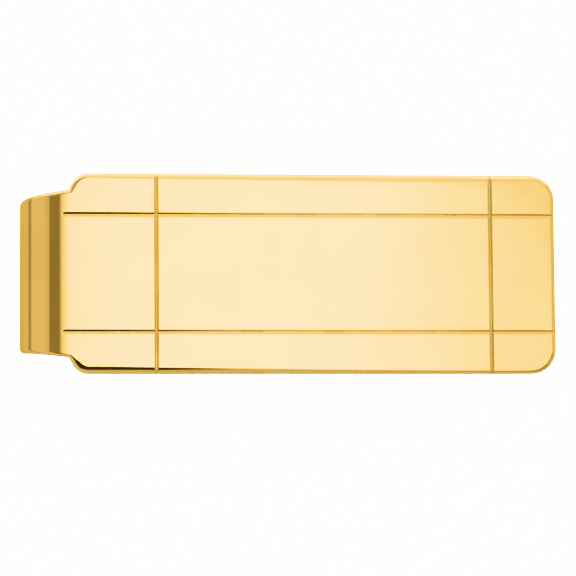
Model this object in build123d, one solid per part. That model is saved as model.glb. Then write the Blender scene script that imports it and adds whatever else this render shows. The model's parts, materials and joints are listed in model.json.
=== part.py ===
"""Folded-strip money clip.

One springy strip of gold-plated brass, pressed with a wide face at one end and a narrower tongue
at the other. The tongue is rolled under the face through a little over half a turn, runs back
along the underside, pinches the notes on a low crown, and flares away in a lead-in lip.
The strip is written as its five working lengths, which meet face to face where the real one
carries on: face plate, rolled bend, straight leaf, grip crown and lead-in lip.

Everything is drawn in the strip's own frame, in millimetres: X along the face towards its free
end, Y across it, Z square to the face, with the origin on the axis of the rolled bend. The last
step lays the clip down as it rests on a table, on its bend and its lip, with +Z up and the
origin under the middle of its bounding box.
"""

from build123d import *
import math
import os

# Strip
GAUGE = 1.0
BEND_OUTER = 4.7
BEND_INNER = BEND_OUTER - GAUGE
BEND_MID = BEND_OUTER - GAUGE / 2

# Face plate, seen from above
OVERALL_LENGTH = 54.0
FACE_HALF = 10.1
FACE_END = OVERALL_LENGTH - BEND_OUTER
CORNER_RADIUS = 2.5
NOTCH = 0.15
SHOULDER_ANGLE = 63.0
SHOULDER_RADIUS = 1.85
NOTCH_RADIUS = 0.2

# Edges, rounded more on the polished outside of the strip than on its inside
OUTSIDE_ROUNDING = 0.5
INSIDE_ROUNDING = 0.25

# Cut lines in the face: a blunt V-pointed graver taken straight along and straight across
LINE_WIDTH = 0.5
LONG_LINE_DEPTH = 0.07
LONG_LINE = 5.9
LONG_LINE_START = -0.4
CROSS_LINE_DEPTH = 0.14
CROSS_LINES = (8.9, 42.7)
GRAVER_HEIGHT = 0.5

# Half widths of the tongue: at the neck, where the bend meets the leaf, and at the tip.
# The bend takes its taper early, by this share more than evenly.
NECK_HALF = 8.42
TONGUE_HALF = 7.3
EARLY_TAPER = 0.63
TIP_HALF = 6.4
TIP_RADIUS = 3.0

# Leaf, crown and lip, measured along the middle of the gauge
LEAF_LENGTH = 33.0
CROWN_RADIUS = 12.0
CROWN_GAP = 0.1
LIP_ANGLE = 24.0
LIP_LENGTH = 5.0

# How far the waste is drawn past the strip, and how finely it follows the bend
WASTE_MARGIN = 5.0
WASTE_LAP = 1.0
WASTE_LEAD = 15.0
WASTE_STEPS = 15


def closing_angle():
    """Degrees by which the leaf closes on the face, so that the crown just clears its back."""
    reach = CROWN_RADIUS + GAUGE / 2 - BEND_INNER + CROWN_GAP
    rise = BEND_MID + CROWN_RADIUS
    return math.degrees(
        math.atan2(rise, LEAF_LENGTH) - math.asin(reach / math.hypot(rise, LEAF_LENGTH))
    )


CLOSING_ANGLE = closing_angle()


def unit(angle):
    """The direction at an angle in degrees above +X, in the strip's side view."""
    return Vector(math.cos(math.radians(angle)), 0, math.sin(math.radians(angle)))


LEAF_START = unit(CLOSING_ANGLE - 90) * BEND_MID
LEAF_STOP = LEAF_START + unit(CLOSING_ANGLE) * LEAF_LENGTH
CROWN_CENTRE = LEAF_STOP + unit(CLOSING_ANGLE - 90) * CROWN_RADIUS
CROWN_STOP = CROWN_CENTRE + unit(90 - LIP_ANGLE) * CROWN_RADIUS
LIP_STOP = CROWN_STOP + unit(-LIP_ANGLE) * LIP_LENGTH


def resting_angle():
    """Degrees by which the face slopes down when the clip lies on its bend and its lip's edge."""
    foot = (
        LIP_STOP
        - unit(-LIP_ANGLE) * OUTSIDE_ROUNDING
        + unit(-LIP_ANGLE - 90) * (GAUGE / 2 - OUTSIDE_ROUNDING)
    )
    lean = math.asin((BEND_OUTER - OUTSIDE_ROUNDING) / foot.length)
    return math.degrees(lean + math.atan2(foot.Z, foot.X))


RESTING_ANGLE = resting_angle()


def side_arc(centre, mid_radius, start, stop):
    """A length of strip bent about an axis across it, as wide as the blank allows."""
    inner, outer = mid_radius - GAUGE / 2, mid_radius + GAUGE / 2
    middle = (start + stop) / 2
    outline = Wire(
        [
            ThreePointArc(*(centre + unit(a) * outer for a in (start, middle, stop))),
            Line(centre + unit(stop) * outer, centre + unit(stop) * inner),
            ThreePointArc(*(centre + unit(a) * inner for a in (stop, middle, start))),
            Line(centre + unit(start) * inner, centre + unit(start) * outer),
        ]
    )
    return extrude(Face(outline), FACE_HALF, dir=(0, 1, 0), both=True)


def side_bar(start, stop):
    """A straight length of strip between two points on the middle of the gauge."""
    along = (stop - start).normalized()
    up = Vector(-along.Z, 0, along.X) * (GAUGE / 2)
    outline = Wire.make_polygon([start - up, stop - up, stop + up, start + up])
    return extrude(Face(outline), FACE_HALF, dir=(0, 1, 0), both=True)


def symmetric(points):
    """A flat outline that mirrors about the X axis, given the corners on its +Y side."""
    return make_face(Polyline(*points, *[(x, -y) for x, y in reversed(points)], close=True))


def soften(body, height, cuts):
    """Rounds the rims of a length of strip and leaves the ends where it carries on square.

    height gives how far outside the middle of the gauge a point lies. cuts holds a point on each
    square end and the direction it faces."""

    def on_cut(edge):
        return any(
            all(abs((p - at).dot(facing)) < 1e-4 for p in (edge @ 0, edge @ 0.5, edge @ 1))
            for at, facing in cuts
        )

    for side, radius in ((1, OUTSIDE_ROUNDING), (-1, INSIDE_ROUNDING)):
        rim = [
            e
            for e in body.edges()
            if abs(side * height(e @ 0.5) - GAUGE / 2) < 1e-3 and not on_cut(e)
        ]
        body = fillet(rim, radius)
    return body


def bend_half(angle):
    """Half the strip's width round the bend, from the neck at 90 degrees to the leaf."""
    share = (angle - 90) / (180 + CLOSING_ANGLE)
    return NECK_HALF - (NECK_HALF - TONGUE_HALF) * share * (1 + EARLY_TAPER * (1 - share))


def neck_half(x):
    """Half the neck's width a little way along the face, where the bend's taper starts."""
    bend_length = math.radians(180 + CLOSING_ANGLE) * BEND_MID
    return NECK_HALF + (NECK_HALF - TONGUE_HALF) * (1 + EARLY_TAPER) * x / bend_length


def graver(depth):
    """The graver's V point at its depth below the face, as a flat outline."""
    half_top = GRAVER_HEIGHT * (LINE_WIDTH / 2) / depth
    top = GRAVER_HEIGHT - depth
    return make_face(Polyline((0, -depth), (half_top, top), (-half_top, top), close=True))


def line_cutters():
    """The graver's paths along the face and across it."""
    run = OVERALL_LENGTH - LONG_LINE_START
    long_path = extrude(Plane.YZ * graver(LONG_LINE_DEPTH), run)
    cross_path = extrude(Plane.XZ * graver(CROSS_LINE_DEPTH), 2 * FACE_HALF, both=True)
    along = [Pos(LONG_LINE_START, side * LONG_LINE, BEND_OUTER) * long_path for side in (-1, 1)]
    across = [Pos(x, 0, BEND_OUTER) * cross_path for x in CROSS_LINES]
    return along, across


def face_plate():
    """The flat face with its notched shoulders, rounded rim and crossing cut lines."""
    slant = (FACE_HALF - neck_half(NOTCH)) / math.tan(math.radians(SHOULDER_ANGLE))
    corners = {
        (0, neck_half(0)): 0,
        (NOTCH, neck_half(NOTCH)): NOTCH_RADIUS,
        (NOTCH + slant, FACE_HALF): SHOULDER_RADIUS,
        (FACE_END, FACE_HALF): CORNER_RADIUS,
    }
    outline = symmetric(list(corners))
    for (x, y), radius in corners.items():
        if radius:
            pair = [
                v
                for v in outline.vertices()
                if abs(v.X - x) < 1e-6 and abs(abs(v.Y) - y) < 1e-6
            ]
            outline = fillet(pair, radius)
    plate = Pos(0, 0, BEND_INNER) * extrude(outline, GAUGE)
    plate = soften(plate, lambda p: p.Z - BEND_MID, [(Vector(), Vector(1, 0, 0))])
    along, across = line_cutters()
    return plate - along - across


def bend_trimmer():
    """The waste beyond the strip's +Y edge round the bend."""
    first, last = 90, 270 + CLOSING_ANGLE
    start, stop = first - WASTE_LEAD, last + WASTE_LEAD
    sections = []
    for i in range(WASTE_STEPS + 1):
        angle = start + (stop - start) * i / WASTE_STEPS
        edge = bend_half(min(max(angle, first), last))
        near, far = unit(angle) * (BEND_INNER - WASTE_LAP), unit(angle) * (BEND_OUTER + WASTE_LAP)
        low, high = Vector(0, edge, 0), Vector(0, FACE_HALF + WASTE_LAP, 0)
        sections.append(Face(Wire.make_polygon([near + low, far + low, far + high, near + high])))
    return loft(sections)


def spring_bend():
    """The rolled bend, with the ends of the long lines running out on it."""
    arc = side_arc(Vector(), BEND_MID, 90, 270 + CLOSING_ANGLE)
    waste = bend_trimmer()
    bend = arc - waste - mirror(waste, about=Plane.XZ)
    cuts = [(Vector(), Vector(1, 0, 0)), (Vector(), unit(CLOSING_ANGLE))]
    bend = soften(bend, lambda p: math.hypot(p.X, p.Z) - BEND_MID, cuts)
    along, _ = line_cutters()
    return bend - along


def tongue_plan():
    """The leaf, crown and lip seen from above: one long taper."""
    slope = (TONGUE_HALF - TIP_HALF) / (LIP_STOP.X - LEAF_START.X)
    spare = slope * WASTE_MARGIN
    ends = [
        (LEAF_START.X - WASTE_MARGIN, TONGUE_HALF + spare),
        (LIP_STOP.X + WASTE_MARGIN, TIP_HALF - spare),
    ]
    return extrude(symmetric(ends), 4 * BEND_OUTER, both=True)


def back_leaf():
    """The straight spring arm under the face."""
    leaf = side_bar(LEAF_START, LEAF_STOP) & tongue_plan()
    along = unit(CLOSING_ANGLE)
    outward = unit(CLOSING_ANGLE - 90)
    cuts = [(LEAF_START, along), (LEAF_STOP, along)]
    return soften(leaf, lambda p: (p - LEAF_START).dot(outward), cuts)


def grip_crown():
    """The low crown that pinches the notes against the back of the face."""
    crown = side_arc(CROWN_CENTRE, CROWN_RADIUS, 90 + CLOSING_ANGLE, 90 - LIP_ANGLE) & tongue_plan()
    cuts = [(LEAF_STOP, unit(CLOSING_ANGLE)), (CROWN_STOP, unit(-LIP_ANGLE))]

    def height(p):
        return CROWN_RADIUS - math.hypot(p.X - CROWN_CENTRE.X, p.Z - CROWN_CENTRE.Z)

    return soften(crown, height, cuts)


def lead_in_lip():
    """The flared tip that lets the notes in, with rounded corners."""
    lip = side_bar(CROWN_STOP, LIP_STOP) & tongue_plan()
    along = unit(-LIP_ANGLE)
    outward = unit(-LIP_ANGLE - 90)
    corners = [
        e
        for e in lip.edges()
        if abs(e.length - GAUGE) < 0.05 and abs((e @ 0.5 - LIP_STOP).dot(along)) < 1e-3
    ]
    lip = fillet(corners, TIP_RADIUS)
    return soften(lip, lambda p: (p - LIP_STOP).dot(outward), [(CROWN_STOP, along)])


def laid_down(parts):
    """Tips the clip onto its bend and lip, and puts the origin under the middle of its box."""
    tipped = {name: Rot(0, RESTING_ANGLE, 0) * shape for name, shape in parts.items()}
    box = Compound(children=[Compound(list(s.solids())) for s in tipped.values()]).bounding_box()
    shift = Vector(-(box.min.X + box.max.X) / 2, -(box.min.Y + box.max.Y) / 2, -box.min.Z)
    return {name: Pos(shift) * shape for name, shape in tipped.items()}, shift


def main():
    os.makedirs("parts", exist_ok=True)
    parts = {
        "face_plate": face_plate(),
        "spring_bend": spring_bend(),
        "back_leaf": back_leaf(),
        "grip_crown": grip_crown(),
        "lead_in_lip": lead_in_lip(),
    }
    placed, shift = laid_down(parts)
    for name, shape in placed.items():
        export_step(shape, f"parts/{name}.step")
    print(f"closing {CLOSING_ANGLE:.3f} deg, resting {RESTING_ANGLE:.3f} deg")
    print(f"bend axis at X {shift.X:.4f}, Z {shift.Z:.4f} mm")
    return placed, shift


if __name__ == "__main__":
    main()
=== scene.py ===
import json
import math

import bpy
import numpy as np
from mathutils import Euler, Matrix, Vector
from mathutils.geometry import delaunay_2d_cdt


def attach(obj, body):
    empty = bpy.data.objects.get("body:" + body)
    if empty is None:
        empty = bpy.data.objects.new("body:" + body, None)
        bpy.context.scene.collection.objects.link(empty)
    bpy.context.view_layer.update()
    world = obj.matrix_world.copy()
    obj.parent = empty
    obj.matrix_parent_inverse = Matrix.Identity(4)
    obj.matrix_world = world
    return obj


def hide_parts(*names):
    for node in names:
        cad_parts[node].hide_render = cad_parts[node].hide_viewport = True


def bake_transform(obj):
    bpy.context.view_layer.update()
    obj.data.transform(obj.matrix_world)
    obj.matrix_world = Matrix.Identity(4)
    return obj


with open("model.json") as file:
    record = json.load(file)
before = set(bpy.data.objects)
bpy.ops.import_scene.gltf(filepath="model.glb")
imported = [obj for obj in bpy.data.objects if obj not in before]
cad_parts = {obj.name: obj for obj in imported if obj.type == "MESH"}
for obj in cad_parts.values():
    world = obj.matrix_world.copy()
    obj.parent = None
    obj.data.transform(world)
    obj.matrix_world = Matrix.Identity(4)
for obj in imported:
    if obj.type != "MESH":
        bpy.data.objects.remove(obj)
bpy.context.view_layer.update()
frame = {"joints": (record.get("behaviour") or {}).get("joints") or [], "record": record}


# ---- Face plate ------------------------------------------------------------------------------
# The wide end of the strip. It is blanked from 1 mm hard brass with notched shoulders, its rim is
# rounded by tumbling and buffing, and four lines are cut into it with a blunt V-pointed graver.
# Then it is rolled under at the narrow end, polished and gold plated.

mm = 0.001
gauge = 1.0 * mm
bend_outer = 4.7 * mm
bend_inner = bend_outer - gauge
bend_mid = bend_outer - gauge / 2

face_half = 10.1 * mm
face_end = 49.3 * mm
face_corner = 2.5 * mm
neck_half = 8.42 * mm
tongue_half = 7.3 * mm
early_taper = 0.63
notch = 0.15 * mm
notch_radius = 0.2 * mm
shoulder_angle = math.radians(63)
shoulder_radius = 1.85 * mm

outside_rounding = 0.5 * mm
inside_rounding = 0.25 * mm
rim_width = 0.5 * mm
lower_neck_rim = 0.3 * mm
lower_rim = (0.85 * mm, 0.33 * mm)
lower_rim_fade = 1.6
upper_rim = (0.56 * mm, 0.92 * mm)
buffing_starts = 0.7 * mm
buffing_stops = 4.0 * mm
rim_steps = 10
arc_step = math.radians(4)

line_half = 0.25 * mm
line_nose = 0.02 * mm
line_lip = 0.004 * mm
long_line = 5.9 * mm
long_line_depth = 0.07 * mm
long_line_start = -0.4 * mm
cross_line_depth = 0.14 * mm
cross_lines = (8.9 * mm, 42.7 * mm)
line_profile = np.array([0, 0.02, 0.05, 0.10, 0.16, 0.21, 0.235, 0.25, 0.265, 0.29, 0.36]) * mm
face_grid = 0.5 * mm
seam_clear = 0.1 * mm
grid_clear = 0.06 * mm
normal_step = 0.002 * mm
normal_swing = 0.001
rim_droop = 0.015 * mm
rim_droop_reach = 0.9 * mm

# The strip's own frame: its origin on the axis of the bend, one way along the face, one way up from it
bend_axis = np.array(frame["joints"][0]["pos_m"])
panel = next(m for m in frame["record"]["mounts"] if m["name"] == "monogram_panel")
face_up = np.array(panel["axis"])
face_across = np.array((0.0, 1.0, 0.0))
face_along = np.cross(face_across, face_up)


def in_frame(x, y, z):
    """Takes points from the strip's own frame to the object's frame."""
    return bend_axis + np.outer(x, face_along) + np.outer(y, face_across) + np.outer(z, face_up)


def grid_lines(start, stop, step, cuts=()):
    """Places for mesh lines between two ends, drawn close together across each cut line."""
    plain = np.linspace(start, stop, max(2, round((stop - start) / step) + 1))
    clear = line_profile[-1] + step / 3
    kept = [p for p in plain[1:-1] if all(abs(p - c) > clear for c in cuts)]
    close = [c + side * d for c in cuts for d in line_profile for side in (-1, 1)]
    close = [p for p in close if start < p < stop]
    return np.unique(np.round([start, stop, *kept, *close], 10))


def rounded_run(corners, radii, columns, rows):
    """An edge through corners rounded to radii: its points, and the way in from each of them."""
    corners = [np.array(c) for c in corners]
    points, inward = [], []
    start = corners[0]
    for i, corner in enumerate(corners[1:]):
        way = (corner - corners[i]) / np.linalg.norm(corner - corners[i])
        inner = np.array((-way[1], way[0]))
        turn, radius = 0.0, 0.0
        if i < len(radii):
            after = corners[i + 2] - corner
            turn = math.atan2(way[0] * after[1] - way[1] * after[0], way @ after)
            radius = radii[i]
        stop = corner - way * radius * math.tan(abs(turn) / 2)
        axis = 0 if abs(way[0]) > abs(way[1]) else 1
        crossed = [(c - start[axis]) / (stop - start)[axis] for c in (columns, rows)[axis]]
        shares = np.unique([0.0, 1.0, *(t for t in crossed if 0.02 < t < 0.98)])
        run = [start + (stop - start) * t for t in shares]
        points += run
        inward += [inner] * len(run)
        if radius:
            side = math.copysign(1, turn)
            centre = stop + inner * radius * side
            count = max(2, math.ceil(abs(turn) / arc_step))
            for angle in np.linspace(0, turn, count + 1)[1:-1]:
                c, s = math.cos(angle), math.sin(angle)
                facing = np.array((c * inner[0] - s * inner[1], s * inner[0] + c * inner[1]))
                points.append(centre - facing * radius * side)
                inward.append(facing)
            start = corner + after / np.linalg.norm(after) * radius * math.tan(abs(turn) / 2)
    return np.array(points), np.array(inward)


def cut_shape(distance, depth):
    """How far a cut line lies below the face at a distance from its middle, its lips worn soft."""
    below = depth * (1 - np.hypot(distance, line_nose) / line_half)
    return (below + np.hypot(below, line_lip)) / 2


def long_cuts(across):
    """The two long lines."""
    upper = cut_shape(abs(across - long_line), long_line_depth)
    return np.maximum(upper, cut_shape(abs(across + long_line), long_line_depth))


def level(along, across):
    """A surface with nothing cut into it."""
    return np.zeros_like(along)


def even_rim(along, across):
    """A rim rounded to the same width all along."""
    return np.full_like(along, rim_width)


def strip_length(name, edges, place, columns, rows, cut=level, droop=level, rim=even_rim):
    """Builds one closed length of the strip as a mesh, with its true normals.

    edges are its long edges in order round it, each a list of points and of the way in from them.
    Straight saw cuts join the end of each edge to the start of the next. place takes positions along,
    across and above the middle of the gauge to the object's frame. rim gives the width of the
    rounding on the outside of the strip."""
    points, normals, faces, caps = [], [], [], []
    marks = {"rim": [], "inside": [], "cut": []}

    def shape(side, base, fall):
        below = fall
        if side > 0:
            below = np.maximum(fall + droop(base[:, 0], base[:, 1]), cut(base[:, 0], base[:, 1]))
        return place(base[:, 0], base[:, 1], side * (gauge / 2 - below))

    def add(side, spots, rim, base, first, second):
        """Adds points with the normal that two neighbours in each direction give."""
        facing = side * np.cross(first[0] - first[1], second[0] - second[1])
        facing /= np.linalg.norm(facing, axis=1)[:, None]
        start = sum(len(p) for p in points)
        points.append(spots)
        normals.append(facing)
        marks["rim"].append(rim)
        marks["inside"].append(np.full(len(spots), float(side < 0)))
        depth = cut(base[:, 0], base[:, 1]) if side > 0 else np.zeros(len(spots))
        marks["cut"].append(np.clip(depth / long_line_depth, 0, 1))
        return np.arange(start, start + len(spots))

    rings = {1: [], -1: []}
    for side, radius in ((1, outside_rounding), (-1, inside_rounding)):
        for spots, inward in edges:
            onward = np.column_stack((inward[:, 1], -inward[:, 0]))
            stack = []
            for angle in np.linspace(0, math.pi / 2, rim_steps + 1):

                def on_rim(step, turn):
                    base = spots + onward * step
                    width = rim(base[:, 0], base[:, 1])[:, None] if side > 0 else radius
                    base = base + inward * width * (1 - math.cos(angle + turn))
                    fall = np.full(len(base), radius * (1 - math.sin(angle + turn)))
                    return base, shape(side, base, fall)

                base, here = on_rim(0, 0)
                first = on_rim(normal_step, 0)[1], on_rim(-normal_step, 0)[1]
                second = on_rim(0, normal_swing)[1], on_rim(0, -normal_swing)[1]
                worn = np.full(len(base), 1 - math.sin(angle))
                stack.append((add(side, here, worn, base, first, second), base))
            rings[side].append(stack)

    for top, bottom in zip(rings[1], rings[-1]):
        rows_down = [ids for ids, _ in reversed(top)] + [ids for ids, _ in bottom]
        for upper, lower in zip(rows_down, rows_down[1:]):
            for k in range(len(upper) - 1):
                faces.append((upper[k], lower[k], lower[k + 1], upper[k + 1]))

    seams = {}
    for side in (1, -1):
        ids, base = [], []
        for k, stack in enumerate(rings[side]):
            ring_ids, ring = stack[-1]
            ids += list(ring_ids)
            base += list(ring)
            here, there = ring[-1], rings[side][(k + 1) % len(edges)][-1][1][0]
            low, high = sorted((here[1], there[1]))
            between = [r for r in rows if low + seam_clear < r < high - seam_clear]
            between = between if there[1] > here[1] else between[::-1]
            seam = np.array([(here[0], r) for r in between])
            seams[side, k] = (len(ids), len(seam))
            ids += [-1] * len(seam)
            base += list(seam)
        loop = np.array(base)
        grid = np.array([(c, r) for c in columns for r in rows])
        ahead = np.roll(loop, -1, axis=0) - loop
        gap = np.full(len(grid), 1.0)
        for corner, run in zip(loop, ahead):
            t = np.clip(((grid - corner) @ run) / max(run @ run, 1e-18), 0, 1)
            gap = np.minimum(gap, np.linalg.norm(grid - corner - t[:, None] * run, axis=1))
        grid = grid[gap > grid_clear]
        flat = [Vector(p / mm) for p in [*loop, *grid]]
        around = list(range(len(loop)))
        result = delaunay_2d_cdt(flat, [], [around], 1, 1e-6)
        source = [origin[0] for origin in result[3]]
        used = {source[v] for tri in result[2] for v in tri}
        fresh = sorted(v for v in used | set(around) if v >= len(loop) or ids[v] < 0)
        spots = np.array([flat[v] for v in fresh]) * mm
        none = np.zeros(len(spots))
        steps = [np.array(s) * normal_step for s in ((1, 0), (-1, 0), (0, 1), (0, -1))]
        near = [shape(side, spots + s, none) for s in steps]
        made = add(side, shape(side, spots, none), none, spots, near[:2], near[2:])
        number = {v: ids[v] for v in around if ids[v] >= 0}
        number.update(zip(fresh, made))
        for tri in result[2]:
            a, b, c = (flat[source[v]] for v in tri)
            rising = (b - a).cross(c - a) > 0
            corners = [number[source[v]] for v in tri]
            faces.append(corners if rising == (side > 0) else corners[::-1])
        for k in range(len(edges)):
            start, count = seams[side, k]
            seams[side, k] = [number[start + i] for i in range(count)]

    for k in range(len(edges)):
        after = (k + 1) % len(edges)
        down = [s[0][0] for s in reversed(rings[1][after])] + [s[0][0] for s in rings[-1][after]]
        up = [s[0][-1] for s in reversed(rings[-1][k])] + [s[0][-1] for s in rings[1][k]]
        caps.append((seams[1, k] + down + seams[-1, k][::-1] + up)[::-1])

    points, normals = np.concatenate(points), np.concatenate(normals)
    mesh = bpy.data.meshes.new(name)
    mesh.from_pydata(points.tolist(), [], [list(map(int, f)) for f in faces + caps])
    mesh.polygons.foreach_set("use_smooth", [True] * len(mesh.polygons))
    for mark, values in marks.items():
        attribute = mesh.attributes.new(mark, "FLOAT", "POINT")
        attribute.data.foreach_set("value", np.concatenate(values).astype(np.float32))
    corner_normals = [normals[v] for f in faces for v in f]
    for cap in caps:
        ring = points[cap]
        facing = np.cross(ring, np.roll(ring, -1, axis=0)).sum(axis=0)
        corner_normals += [facing / np.linalg.norm(facing)] * len(cap)
    mesh.normals_split_custom_set([tuple(n) for n in corner_normals])
    piece = bpy.data.objects.new(name, mesh)
    bpy.context.scene.collection.objects.link(piece)
    return piece


def place_face(along, across, above):
    """The face lies flat, tangent to the top of the bend."""
    return in_frame(along, across, bend_mid + above)


def face_cut(along, across):
    """The two long lines and the two cross lines, which are cut deeper."""
    crosses = [cut_shape(abs(along - x), cross_line_depth) for x in cross_lines]
    return np.maximum.reduce([long_cuts(across), *crosses])


def face_droop(along, across):
    """The face falls away a little towards its rim, where the buffing wheel leant on it."""
    sides = np.exp((abs(across) - face_half) / rim_droop_reach)
    end = np.exp((along - face_end) / rim_droop_reach)
    return rim_droop * (sides + end) * (1 - np.exp(-np.maximum(along, 0) / shoulder_radius))


def smooth_step(value):
    """Rises from 0 to 1 as a value does, with no corner at either end."""
    share = np.clip(value, 0, 1)
    return share * share * (3 - 2 * share)


def lower_side_share(across):
    """1 at the lower long edge, 0 at the upper one."""
    return smooth_step((1 - across / face_half) / 2)


def face_rim(along, across):
    """The rim's width: uneven along the two long edges, and even round the neck and the free end."""
    lower = lower_side_share(across)
    share = np.clip(along / face_end, 0, 1)
    lower_width = lower_rim[1] + (lower_rim[0] - lower_rim[1]) * (1 - share) ** lower_rim_fade
    upper_width = upper_rim[0] + (upper_rim[1] - upper_rim[0]) * share
    buffed = lower * lower_width + (1 - lower) * upper_width
    neck = rim_width + (lower_neck_rim - rim_width) * lower
    width = neck + (buffed - neck) * smooth_step(along / buffing_starts)
    return rim_width + (width - rim_width) * smooth_step((face_end - along) / buffing_stops)


# The leaf closes on the face by an angle that leaves a hair's gap over the crown
leaf_length = 33.0 * mm
crown_radius = 12.0 * mm
crown_gap = 0.1 * mm
crown_reach = crown_radius + gauge / 2 - bend_inner + crown_gap
crown_rise = bend_mid + crown_radius
crown_slant = math.hypot(crown_rise, leaf_length)
closing_angle = math.atan2(crown_rise, leaf_length) - math.asin(crown_reach / crown_slant)
bend_length = bend_mid * (math.pi + closing_angle)

neck_slope = (neck_half - tongue_half) * (1 + early_taper) / bend_length
neck_at_notch = neck_half + neck_slope * notch
shoulder = notch + (face_half - neck_at_notch) / math.tan(shoulder_angle)
lower_side = [(0, -neck_half), (notch, -neck_at_notch), (shoulder, -face_half), (face_end, -face_half)]
face_corners = lower_side + [(x, -y) for x, y in reversed(lower_side)]
face_radii = [notch_radius, shoulder_radius, face_corner, face_corner, shoulder_radius, notch_radius]
face_columns = grid_lines(0, face_end, face_grid, cross_lines)
strip_rows = grid_lines(-face_half, face_half, face_grid, (-long_line, long_line))
face_edge = rounded_run(face_corners, face_radii, face_columns, strip_rows)
face = strip_length(
    "face_plate_gold", [face_edge], place_face, face_columns, strip_rows, face_cut, face_droop, face_rim
)
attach(face, "face")
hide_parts("face_plate")


# ---- Rolled bend -----------------------------------------------------------------------------
# The narrow end of the strip rolled round a mandrel through a little over half a turn, so that it
# works as the clip's spring. It flares to the neck, and the long lines start just on it.

bend_grid = 0.15 * mm
lift_length = 0.1 * mm
neck_rim_reach = 6.0 * mm


def place_bend(along, across, above):
    """The bend runs back from the face, over its crown and down to the leaf."""
    angle = math.pi / 2 - along / bend_mid
    radius = bend_mid + above
    return in_frame(radius * np.cos(angle), across, radius * np.sin(angle))


def bend_cut(along, across):
    """The long lines start just beyond the flat of the face, where the graver was set down."""
    fall = np.cos(np.clip(along / bend_mid, -1, 0))
    down = smooth_step((along - long_line_start) / lift_length + 0.5)
    return np.maximum(bend_outer - (bend_outer - long_cuts(across)) / fall, 0) * down


def bend_half(along):
    """Half the width: the strip narrows round the bend, sooner at first than later."""
    share = -along / bend_length
    return neck_half - (neck_half - tongue_half) * share * (1 + early_taper * (1 - share))


def bend_rim(along, across):
    """The rim's width: sharper on the lower side of the neck."""
    near_face = smooth_step(1 + along / neck_rim_reach)
    return rim_width + (lower_neck_rim - rim_width) * lower_side_share(across) * near_face


def side_edges(stations, half_width):
    """The two long edges of a length of strip, given half its width at any station."""
    step = 0.001 * mm
    slope = (half_width(stations + step) - half_width(stations - step)) / (2 * step)
    length = np.hypot(1, slope)
    near = np.column_stack((stations, -half_width(stations)))
    far = np.column_stack((stations, half_width(stations)))[::-1]
    near_in = np.column_stack((slope, np.ones_like(slope))) / length[:, None]
    far_in = (np.column_stack((slope, -np.ones_like(slope))) / length[:, None])[::-1]
    return [(near, near_in), (far, far_in)]


bend_columns = grid_lines(-bend_length, 0, bend_grid, (long_line_start,))
bend_edges = side_edges(bend_columns, bend_half)
bend = strip_length(
    "rolled_bend_gold", bend_edges, place_bend, bend_columns, strip_rows, bend_cut, rim=bend_rim
)
leaf_angle = closing_angle - math.pi / 2
bend_top = in_frame([0], [0], [bend_inner])[0]
bend_bottom = in_frame([0], [0], [bend_inner * math.sin(leaf_angle)])[0]
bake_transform(bend)
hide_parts("spring_bend")


# ---- Back leaf -------------------------------------------------------------------------------
# The straight spring arm that runs back under the face and tapers towards its tip. It is the same
# strip, and its inside keeps a duller finish, because the buffing wheel reaches it less well.

lip_angle = math.radians(24)
lip_length = 5.0 * mm
tip_half = 6.4 * mm
leaf_grid = 0.6 * mm


def heading(angle):
    """A direction in the strip's side view, as its steps along and up."""
    return np.array((math.cos(angle), math.sin(angle)))


leaf_start = heading(leaf_angle) * bend_mid
leaf_stop = leaf_start + heading(closing_angle) * leaf_length
crown_centre = leaf_stop + heading(leaf_angle) * crown_radius
crown_stop = crown_centre + heading(math.pi / 2 - lip_angle) * crown_radius
lip_stop = crown_stop + heading(-lip_angle) * lip_length


def tongue_half_at(x):
    """Half the tongue's width under a place along the face."""
    share = (x - leaf_start[0]) / (lip_stop[0] - leaf_start[0])
    return tongue_half + (tip_half - tongue_half) * share


def straight_place(start, angle):
    """Places a straight length that leaves a point at an angle. Along counts back to that point."""
    onward, outward = heading(angle), heading(angle - math.pi / 2)

    def place(along, across, above):
        x = start[0] - along * onward[0] + above * outward[0]
        z = start[1] - along * onward[1] + above * outward[1]
        return in_frame(x, across, z)

    return place


def leaf_half(along):
    """Half the tongue's width along the leaf."""
    return tongue_half_at(leaf_start[0] - along * math.cos(closing_angle))


leaf_columns = grid_lines(-leaf_length, 0, leaf_grid)
leaf_edges = side_edges(leaf_columns, leaf_half)
leaf_place = straight_place(leaf_start, closing_angle)
leaf = strip_length("spring_leaf_gold", leaf_edges, leaf_place, leaf_columns, strip_rows)
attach(leaf, "leaf")
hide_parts("back_leaf")


# ---- Grip crown ------------------------------------------------------------------------------
# A low crown set across the tongue with a forming tool. It closes on the back of the face and
# pinches the notes there.

crown_grid = 0.2 * mm
crown_length = crown_radius * (closing_angle + lip_angle)


def place_crown(along, across, above):
    """The crown turns down about a centre under the tongue. Along counts back to the leaf."""
    angle = math.pi / 2 + closing_angle + along / crown_radius
    radius = crown_radius - above
    x = crown_centre[0] + radius * np.cos(angle)
    z = crown_centre[1] + radius * np.sin(angle)
    return in_frame(x, across, z)


def crown_half(along):
    """Half the tongue's width round the crown."""
    angle = math.pi / 2 + closing_angle + along / crown_radius
    return tongue_half_at(crown_centre[0] + crown_radius * np.cos(angle))


crown_columns = grid_lines(-crown_length, 0, crown_grid)
crown_edges = side_edges(crown_columns, crown_half)
crown = strip_length("grip_crown_gold", crown_edges, place_crown, crown_columns, strip_rows)
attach(crown, "leaf")
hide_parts("grip_crown")


# ---- Lead-in lip -----------------------------------------------------------------------------
# The tip of the tongue, left straight beyond the crown so that it flares away from the face and
# lets the notes in. Its corners are rounded so that they don't catch on a pocket.

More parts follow.
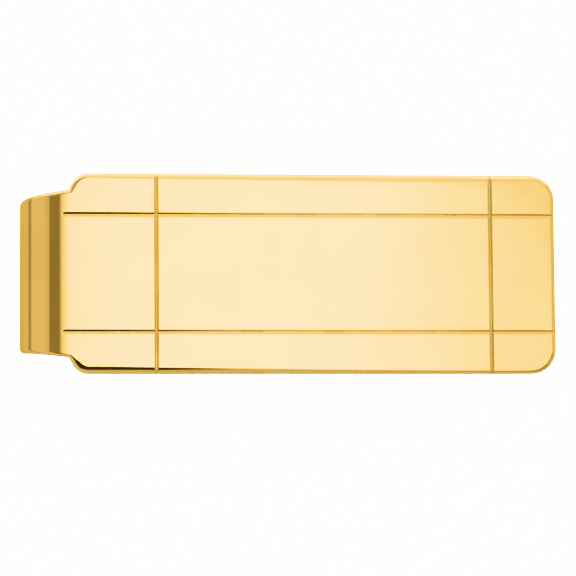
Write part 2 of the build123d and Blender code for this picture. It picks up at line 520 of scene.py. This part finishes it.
tip_radius = 3.0 * mm
lip_root = tongue_half_at(crown_stop[0])
lip_corners = [(0, lip_root), (-lip_length, tip_half), (-lip_length, -tip_half), (0, -lip_root)]
lip_columns = grid_lines(-lip_length, 0, leaf_grid)
lip_edge = rounded_run(lip_corners, [tip_radius, tip_radius], lip_columns, strip_rows)
lip_place = straight_place(crown_stop, -lip_angle)
lip = strip_length("lead_in_lip_gold", [lip_edge], lip_place, lip_columns, strip_rows)
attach(lip, "leaf")
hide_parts("lead_in_lip")


# ---- Gold plate ------------------------------------------------------------------------------
# A few microns of bright gold over the polished brass, one finish for the whole strip. The mop
# leaves hairlines along it and faint waves, pockets and hands wear the rims, and polish stays in the
# cut lines, whose colour also carries painted shade that follows their depth. The inside of the fold
# keeps a duller skin.

gold_colour = (1.0, 0.668, 0.226, 1)
rich_gold = (0.995, 0.648, 0.21, 1)
thin_gold = (1.0, 0.735, 0.33, 1)
# Darker, browner gold for polish in the cut lines, also used as painted shade there
polish_and_painted_shade = (0.62, 0.38, 0.12, 1)
gold_at_a_glance = (1.0, 0.88, 0.55, 1)
mirror_roughness = 0.055
inside_roughness = 0.2
smear_roughness = 0.03
residue_roughness = 0.12
wear_roughness = 0.05
scratch_roughness = 0.06
wear_colour_share = 0.6
residue_and_shade_share = 0.3
plating_patch = 7 * mm
smear_patch = 3 * mm
wave_patch = 4.5 * mm
wave_height = 0.0008 * mm
hairline_width, hairline_length, hairline_height = 0.05 * mm, 5 * mm, 0.0004 * mm
scratch_width, scratch_length, scratch_height = 0.04 * mm, 2.5 * mm, 0.0003 * mm
scratch_turns = (23, -38, 81)
scratch_shows = (0.66, 0.74)
inside_hairlines = 3.0


def new_group(name, inputs, outputs):
    """An empty node group with named sockets: the group, what comes in and what goes out."""
    group = bpy.data.node_groups.new(name, "ShaderNodeTree")
    for title, kind in inputs:
        group.interface.new_socket(title, in_out="INPUT", socket_type=kind)
    for title in outputs:
        group.interface.new_socket(title, in_out="OUTPUT", socket_type="NodeSocketFloat")
    return group, group.nodes.new("NodeGroupInput"), group.nodes.new("NodeGroupOutput")


def maths(tree, operation, first, second, clamp=False):
    """A sum worked out between two sockets or numbers; returns its output."""
    node = tree.nodes.new("ShaderNodeMath")
    node.operation = operation
    node.use_clamp = clamp
    for socket, value in zip(node.inputs, (first, second)):
        if isinstance(value, bpy.types.NodeSocket):
            tree.links.new(value, socket)
        else:
            socket.default_value = value
    return node.outputs[0]


def ramp_between(tree, value, low, high, start=0.0, stop=1.0):
    """Takes a value from low to high smoothly onto start to stop; returns its output."""
    node = tree.nodes.new("ShaderNodeMapRange")
    node.interpolation_type = "SMOOTHSTEP"
    tree.links.new(value, node.inputs["Value"])
    for title, number in (("From Min", low), ("From Max", high), ("To Min", start), ("To Max", stop)):
        node.inputs[title].default_value = number
    return node.outputs[0]


# Fine straight lines at an angle across the strip, each about as wide and as long as asked
vector_in = ("Position", "NodeSocketVector")
lines_in = [vector_in] + [(title, "NodeSocketFloat") for title in ("Angle", "Width", "Length")]
fine_lines, coming, going = new_group("fine_lines", lines_in, ["Lines"])
turned_way = fine_lines.nodes.new("ShaderNodeVectorRotate")
turned_way.rotation_type = "Z_AXIS"
fine_lines.links.new(coming.outputs["Position"], turned_way.inputs["Vector"])
fine_lines.links.new(coming.outputs["Angle"], turned_way.inputs["Angle"])
per_length = maths(fine_lines, "DIVIDE", 1.0, coming.outputs["Length"])
per_width = maths(fine_lines, "DIVIDE", 1.0, coming.outputs["Width"])
stretch = fine_lines.nodes.new("ShaderNodeCombineXYZ")
for axis, share in (("X", per_length), ("Y", per_width), ("Z", per_length)):
    fine_lines.links.new(share, stretch.inputs[axis])
stretched = fine_lines.nodes.new("ShaderNodeVectorMath")
stretched.operation = "MULTIPLY"
fine_lines.links.new(turned_way.outputs[0], stretched.inputs[0])
fine_lines.links.new(stretch.outputs[0], stretched.inputs[1])
line_noise = fine_lines.nodes.new("ShaderNodeTexNoise")
line_noise.inputs["Scale"].default_value = 1.0
line_noise.inputs["Detail"].default_value = 2.0
fine_lines.links.new(stretched.outputs[0], line_noise.inputs["Vector"])
fine_lines.links.new(line_noise.outputs["Fac"], going.inputs["Lines"])

# Soft patches of about one size, for hand polish, smears and uneven plating
patches_in = [vector_in, ("Size", "NodeSocketFloat")]
soft_patches, coming, going = new_group("soft_patches", patches_in, ["Patches"])
patch_noise = soft_patches.nodes.new("ShaderNodeTexNoise")
patch_noise.inputs["Detail"].default_value = 1.5
per_size = maths(soft_patches, "DIVIDE", 1.0, coming.outputs["Size"])
soft_patches.links.new(coming.outputs["Position"], patch_noise.inputs["Vector"])
soft_patches.links.new(per_size, patch_noise.inputs["Scale"])
even_patches = ramp_between(soft_patches, patch_noise.outputs["Fac"], 0.3, 0.7)
soft_patches.links.new(even_patches, going.inputs["Patches"])

# Wear along the crest of the rim, broken up so that it comes and goes
wear_in = [("Rim", "NodeSocketFloat"), ("Patches", "NodeSocketFloat")]
rim_wear, coming, going = new_group("rim_wear", wear_in, ["Wear"])
crest_on = ramp_between(rim_wear, coming.outputs["Rim"], 0.02, 0.35)
crest_off = ramp_between(rim_wear, coming.outputs["Rim"], 0.5, 0.95, 1.0, 0.25)
crest = maths(rim_wear, "MULTIPLY", crest_on, crest_off)
broken = ramp_between(rim_wear, coming.outputs["Patches"], 0.15, 0.85, 0.25, 1.0)
rim_wear.links.new(maths(rim_wear, "MULTIPLY", crest, broken), going.inputs["Wear"])

# Polish left in the bottom of the cut lines, together with painted shade that follows the depth of
# the cut, thicker in some stretches than in others
residue_in = [("Cut", "NodeSocketFloat"), ("Patches", "NodeSocketFloat")]
line_residue_and_shade, coming, going = new_group("line_residue_and_shade", residue_in, ["Residue and shade"])
in_line = ramp_between(line_residue_and_shade, coming.outputs["Cut"], 0.15, 0.9)
thick = ramp_between(line_residue_and_shade, coming.outputs["Patches"], 0.2, 0.8, 0.55, 1.0)
line_residue_and_shade.links.new(maths(line_residue_and_shade, "MULTIPLY", in_line, thick), going.inputs["Residue and shade"])

gold = bpy.data.materials.new("gold_plate")
gold.use_nodes = True
tree = gold.node_tree
shader = tree.nodes["Principled BSDF"]
shader.inputs["Metallic"].default_value = 1.0
shader.inputs["Specular Tint"].default_value = gold_at_a_glance
position = tree.nodes.new("ShaderNodeTexCoord").outputs["Object"]


def placed(group, out, **values):
    """A node group set in the gold with its own values; returns the output asked for."""
    node = tree.nodes.new("ShaderNodeGroup")
    node.node_tree = group
    for title, value in values.items():
        if isinstance(value, bpy.types.NodeSocket):
            tree.links.new(value, node.inputs[title])
        else:
            node.inputs[title].default_value = value
    return node.outputs[out]


def marked(name):
    """A mark that the mesh carries at its points."""
    node = tree.nodes.new("ShaderNodeAttribute")
    node.attribute_name = name
    return node.outputs["Fac"]


def tinted(share, under, over):
    """Mixes two colours, or a colour over what lies under it, by a share; returns the result."""
    node = tree.nodes.new("ShaderNodeMix")
    node.data_type = "RGBA"
    tree.links.new(share, node.inputs["Factor"])
    for socket, colour in ((node.inputs[6], under), (node.inputs[7], over)):
        if isinstance(colour, bpy.types.NodeSocket):
            tree.links.new(colour, socket)
        else:
            socket.default_value = colour
    return node.outputs[2]


inside = marked("inside")
plating = placed(soft_patches, "Patches", Position=position, Size=plating_patch)
smears = placed(soft_patches, "Patches", Position=position, Size=smear_patch)
wear = placed(rim_wear, "Wear", Rim=marked("rim"), Patches=smears)
# Mask of polish and painted shade in the cut lines, by the depth of the cut
residue_and_shade = placed(line_residue_and_shade, "Residue and shade", Cut=marked("cut"), Patches=smears)
lengthwise = {"Angle": 0.0, "Width": hairline_width, "Length": hairline_length}
hairlines = placed(fine_lines, "Lines", Position=position, **lengthwise)
scratches = None
for turn in scratch_turns:
    stray = {"Angle": math.radians(turn), "Width": scratch_width, "Length": scratch_length}
    stray_lines = placed(fine_lines, "Lines", Position=position, **stray)
    sparse = ramp_between(tree, stray_lines, *scratch_shows)
    scratches = sparse if scratches is None else maths(tree, "MAXIMUM", scratches, sparse)

colour = tinted(plating, gold_colour, rich_gold)
colour = tinted(maths(tree, "MULTIPLY", wear, wear_colour_share), colour, thin_gold)
# The cut lines are darkened by polish and by painted shade
colour = tinted(maths(tree, "MULTIPLY", residue_and_shade, residue_and_shade_share), colour, polish_and_painted_shade)
tree.links.new(colour, shader.inputs["Base Color"])

smeared_roughness = mirror_roughness + smear_roughness
roughness = ramp_between(tree, smears, 0.0, 1.0, mirror_roughness, smeared_roughness)
roughness = maths(tree, "ADD", roughness, maths(tree, "MULTIPLY", inside, inside_roughness))
roughness = maths(tree, "ADD", roughness, maths(tree, "MULTIPLY", residue_and_shade, residue_roughness))
roughness = maths(tree, "ADD", roughness, maths(tree, "MULTIPLY", wear, wear_roughness))
rough_scratches = maths(tree, "MULTIPLY", scratches, scratch_roughness)
roughness = maths(tree, "ADD", roughness, rough_scratches, clamp=True)
tree.links.new(roughness, shader.inputs["Roughness"])


def raised(height, distance, under=None):
    """A bump of a height in metres, over another one if there is one; returns its normal."""
    node = tree.nodes.new("ShaderNodeBump")
    node.inputs["Distance"].default_value = distance
    tree.links.new(height, node.inputs["Height"])
    if under is not None:
        tree.links.new(under, node.inputs["Normal"])
    return node.outputs["Normal"]


waves = raised(placed(soft_patches, "Patches", Position=position, Size=wave_patch), wave_height)
deeper_inside = maths(tree, "MULTIPLY", inside, maths(tree, "MULTIPLY", hairlines, inside_hairlines))
worked = maths(tree, "ADD", hairlines, deeper_inside)
lined = raised(worked, hairline_height, waves)
scored = raised(maths(tree, "SUBTRACT", 1.0, scratches), scratch_height, lined)
tree.links.new(scored, shader.inputs["Normal"])

for piece in (face, bend, leaf, crown, lip):
    piece.data.materials.append(gold)


# ---- Table, light and camera -----------------------------------------------------------------
# A plain white table under cloth panels lit from behind. The polished face shows the panel
# overhead, and the roll and the rims show the rest of the room round it.

table_size = 2.0
table_white = (0.86, 0.86, 0.86, 1)
table_roughness = 0.6
table_glow = 6.0
room_strength = 0.3
table_mesh = bpy.data.meshes.new("table_top")
table_corners = [(x * table_size, y * table_size, 0) for x, y in ((-1, -1), (1, -1), (1, 1), (-1, 1))]
table_mesh.from_pydata(table_corners, [], [(0, 1, 2, 3)])
table = bpy.data.objects.new("table_top", table_mesh)
bpy.context.scene.collection.objects.link(table)
white = bpy.data.materials.new("white_table")
white.use_nodes = True
white_nodes, white_links = white.node_tree.nodes, white.node_tree.links
white_shader = white_nodes["Principled BSDF"]
white_shader.inputs["Base Color"].default_value = table_white
white_shader.inputs["Roughness"].default_value = table_roughness
white_shader.inputs["Emission Color"].default_value = (1, 1, 1, 1)
seen = white_nodes.new("ShaderNodeLightPath")
glow = white_nodes.new("ShaderNodeMath")
glow.operation = "MULTIPLY"
glow.inputs[1].default_value = table_glow
white_links.new(seen.outputs["Is Camera Ray"], glow.inputs[0])
white_links.new(glow.outputs[0], white_shader.inputs["Emission Strength"])
table_mesh.materials.append(white)

room = bpy.data.worlds.new("studio")
room.use_nodes = True
room.node_tree.nodes["Background"].inputs["Color"].default_value = (1, 1, 1, 1)
room.node_tree.nodes["Background"].inputs["Strength"].default_value = room_strength
bpy.context.scene.world = room

# How green the cloth is, as a share of its red: less where it is dim, more where it is bright
dim_green, bright_green, bright_level = 0.95, 1.04, 1.5


def cloth_panel(name, corners, *levels):
    """A lit cloth panel, seen only in reflections and by its light.

    Each of levels is a direction and the brightness at places along it. They multiply."""
    mesh = bpy.data.meshes.new(name)
    mesh.from_pydata(corners, [], [(0, 1, 2, 3)])
    card = bpy.data.objects.new(name, mesh)
    bpy.context.scene.collection.objects.link(card)
    card.visible_camera = False
    cloth = bpy.data.materials.new(name)
    cloth.use_nodes = True
    nodes, links = cloth.node_tree.nodes, cloth.node_tree.links
    nodes.clear()
    out = nodes.new("ShaderNodeOutputMaterial")
    light = nodes.new("ShaderNodeEmission")
    place_on = nodes.new("ShaderNodeTexCoord")
    links.new(light.outputs[0], out.inputs["Surface"])
    brightness = None
    for direction, stops in levels:
        low, high = stops[0][0], stops[-1][0]
        how_far = nodes.new("ShaderNodeVectorMath")
        how_far.operation = "DOT_PRODUCT"
        how_far.inputs[1].default_value = direction
        links.new(place_on.outputs["Object"], how_far.inputs[0])
        spread = nodes.new("ShaderNodeMapRange")
        spread.inputs["From Min"].default_value = low
        spread.inputs["From Max"].default_value = high
        links.new(how_far.outputs["Value"], spread.inputs["Value"])
        curve = nodes.new("ShaderNodeValToRGB")
        curve.color_ramp.interpolation = "LINEAR"
        peak = max(level_at for _, level_at in stops)
        elements = curve.color_ramp.elements
        for place_at, _ in stops[1:-1]:
            elements.new((place_at - low) / (high - low))
        for stop, (_, level_at) in zip(elements, stops):
            green = dim_green + (bright_green - dim_green) * min(level_at / bright_level, 1)
            stop.color = (level_at / peak, green * level_at / peak, level_at / peak, 1)
        links.new(spread.outputs[0], curve.inputs[0])
        lit = nodes.new("ShaderNodeVectorMath")
        lit.operation = "SCALE"
        lit.inputs["Scale"].default_value = peak
        links.new(curve.outputs["Color"], lit.inputs[0])
        if brightness is not None:
            both = nodes.new("ShaderNodeVectorMath")
            both.operation = "MULTIPLY"
            links.new(brightness, both.inputs[0])
            links.new(lit.outputs[0], both.inputs[1])
            lit = both
        brightness = lit.outputs[0]
    links.new(brightness, light.inputs["Color"])
    mesh.materials.append(cloth)


ceiling = 0.6
left, right, front, back = -0.7, 0.8, -0.47, 0.7
near_edge, far_edge = -0.07, 0.115
x_way, y_way, z_way = (1, 0, 0), (0, 1, 0), (0, 0, 1)
corner_way = (0.545, 0.838, 0)


def on_ceiling(near, far):
    """Corners of a panel that fills the ceiling between two lines across the room."""
    return [(left, near, ceiling), (right, near, ceiling), (right, far, ceiling), (left, far, ceiling)]


cloth_panel(
    "overhead_softbox", on_ceiling(near_edge, far_edge),
    (x_way, [(left, 0.62), (-0.50, 0.62), (-0.47, 0.295), (-0.155, 0.295), (-0.13, 0.5), (-0.09, 0.75),
             (-0.047, 1.14), (0.0, 1.6), (0.03, 1.8), (0.045, 2.2), (0.056, 3.2), (0.064, 4.3),
             (0.135, 4.3), (0.153, 3.2), (0.165, 2.5), (0.176, 1.97), (0.195, 1.78), (0.21, 1.6),
             (0.24, 1.14), (0.35, 0.8), (0.6, 0.68), (right, 0.67)]),
    (y_way, [(near_edge, 0.02), (-0.035, 0.04), (-0.012, 1.0), (far_edge, 1.0)]),
    (corner_way, [(-0.5, 1.0), (0.168, 1.0), (0.174, 0.75), (0.18, 0.62), (0.19, 0.62), (0.24, 1.0),
                  (1.1, 1.0)]),
)
cloth_panel(
    "rear_overhead", on_ceiling(far_edge, back),
    (x_way, [(left, 0.6), (-0.1, 0.58), (0.0, 0.9), (0.06, 1.6), (0.15, 1.6), (0.2, 1.3), (0.3, 1.0),
             (right, 0.8)]),
    (y_way, [(far_edge, 1.0), (0.25, 0.8), (0.45, 0.7), (back, 0.9)]),
)
cloth_panel(
    "front_overhead", on_ceiling(front, near_edge),
    (x_way, [(left, 0.6), (-0.38, 0.6), (-0.33, 0.05), (0.086, 0.05), (0.104, 0.66), (0.15, 0.78),
             (0.19, 0.46), (right, 0.42)]),
)
cloth_panel(
    "front_card", [(left, front, 0), (right, front, 0), (right, front, ceiling), (left, front, ceiling)],
    (x_way, [(left, 0.7), (0.1, 0.6), (0.15, 0.46), (right, 0.42)]),
)
cloth_panel(
    "back_card", [(left, back, 0), (right, back, 0), (right, back, ceiling), (left, back, ceiling)],
    (z_way, [(0, 3.3), (0.3, 2.5), (ceiling, 1.2)]),
)
cloth_panel(
    "left_card", [(left, front, 0), (left, back, 0), (left, back, ceiling), (left, front, ceiling)],
    (z_way, [(0, 0.69), (ceiling, 0.69)]),
)
cloth_panel(
    "right_card", [(right, front, 0), (right, back, 0), (right, back, ceiling), (right, front, ceiling)],
    (z_way, [(0, 0.66), (ceiling, 0.66)]),
)
on_table, over_card = 0.0003, 0.0005
card_right, card_half = -0.06, 0.05
rear_card_front = 0.03
cloth_panel(
    "left_table_card",
    [(left, -card_half, over_card), (card_right, -card_half, over_card),
     (card_right, card_half, over_card), (left, 3 * card_half, over_card)],
    (x_way, [(left, 0.6), (-0.3, 0.56), (-0.16, 0.5), (-0.11, 0.38), (card_right, 0.38)]),
)
cloth_panel(
    "rear_table_card",
    [(left, rear_card_front, on_table), (right, rear_card_front, on_table),
     (right, back, on_table), (left, back, on_table)],
    (y_way, [(rear_card_front, 2.5), (back, 3.3)]),
)

# A long lens looking almost straight down, from a little in front
camera_place = Vector((1.6654, -38.4484, 355.0464)) * mm
camera_turn = Euler([math.radians(angle) for angle in (6.06541, 0.30973, -0.44442)])
lens_length, sensor_width = 217.8125, 36
nearest_seen, furthest_seen = 0.01, 10
camera_data = bpy.data.cameras.new("camera")
camera_data.sensor_width = sensor_width
camera_data.lens = lens_length
camera_data.clip_start = nearest_seen
camera_data.clip_end = furthest_seen
camera = bpy.data.objects.new("camera", camera_data)
camera.location = camera_place
camera.rotation_euler = camera_turn
bpy.context.scene.collection.objects.link(camera)
bpy.context.scene.camera = camera

view = bpy.context.scene.view_settings
view.view_transform = "Khronos PBR Neutral"
view.look = "Medium High Contrast"
